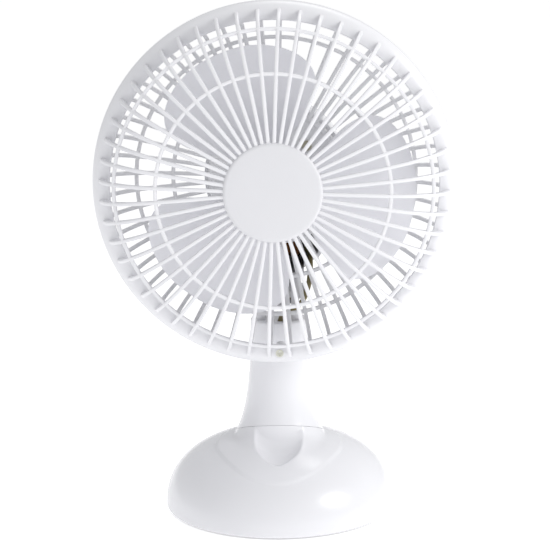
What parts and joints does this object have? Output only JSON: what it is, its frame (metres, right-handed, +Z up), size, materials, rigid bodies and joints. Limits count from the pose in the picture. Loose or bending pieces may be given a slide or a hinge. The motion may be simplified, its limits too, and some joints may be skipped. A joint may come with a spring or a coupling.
{
  "type": "desk fan",
  "caption": "Small desk fan with a round ribbed guard, petal blades, a skeleton motor under a cover, a tilting head, a flared neck and a domed base.",
  "frame": {"origin": "middle of the base on the plane of its rubber ring", "axes": "+Z up, the fan blows towards -Y, +X to the right seen from the front"},
  "size_m": [0.196, 0.1445, 0.2918],
  "materials": {
    "white_plastic": "satin moulded",
    "guard_plastic": "satin moulded",
    "blade_plastic": "satin moulded",
    "grey_plastic": "matt moulded",
    "black_plastic": "matt moulded",
    "steel": "turned",
    "zinc_screw": "zinc plated",
    "lamination_steel": "varnished",
    "aluminium": "die cast",
    "copper": "enamelled",
    "bronze": "sintered",
    "brass": "plain",
    "fibre": "plain",
    "cast_iron": "cast",
    "rubber": "moulded",
    "lead_sleeve": "smooth"
  },
  "bodies": {
    "stand": {"neck": "white_plastic", "neck_screws": "zinc_screw", "tilt_bolt": "steel", "tilt_nut": "steel", "base_shell": "white_plastic", "base_plate": "grey_plastic", "ballast_weight": "cast_iron", "ballast_screws": "zinc_screw", "base_screws": "zinc_screw", "foot_ring": "rubber", "switch_housing": "black_plastic", "switch_terminals": "brass", "cord_grommet": "rubber", "motor_lead": "lead_sleeve"},
    "head": {"front_guard": "guard_plastic", "rear_guard": "guard_plastic", "guard_screw": "zinc_screw", "stator_core": "lamination_steel", "coil_bobbin": "black_plastic", "motor_coil": "copper", "shading_rings": "copper", "front_bracket": "aluminium", "rear_bracket": "aluminium", "front_bearing": "bronze", "rear_bearing": "bronze", "motor_bolts": "steel", "guard_mount_screws": "zinc_screw", "motor_cover": "white_plastic", "cover_screws": "zinc_screw", "tilt_washers": "fibre"},
    "rotor": {"fan_blade": "blade_plastic", "blade_nut": "grey_plastic", "motor_shaft": "steel", "rotor_core": "lamination_steel", "rotor_cage": "aluminium", "thrust_washers": "fibre"},
    "rocker": {"rocker_switch": "white_plastic"}
  },
  "joints": [
    {"name": "head_tilt", "type": "hinge", "parent": "stand", "child": "head", "pos_m": [0, 0, 0.126], "axis": [-1, 0, 0], "range_deg": [-8, 25], "deforming": ["motor_lead"]},
    {"name": "fan_spin", "type": "hinge", "parent": "head", "child": "rotor", "pos_m": [0, 0, 0.1938], "axis": [0, -1, 0], "continuous": true},
    {"name": "rocker_press", "type": "hinge", "parent": "stand", "child": "rocker", "pos_m": [0, 0.0563, 0.02425], "axis": [0, 0.5, -0.866], "range_deg": [0, 14]}
  ]
}
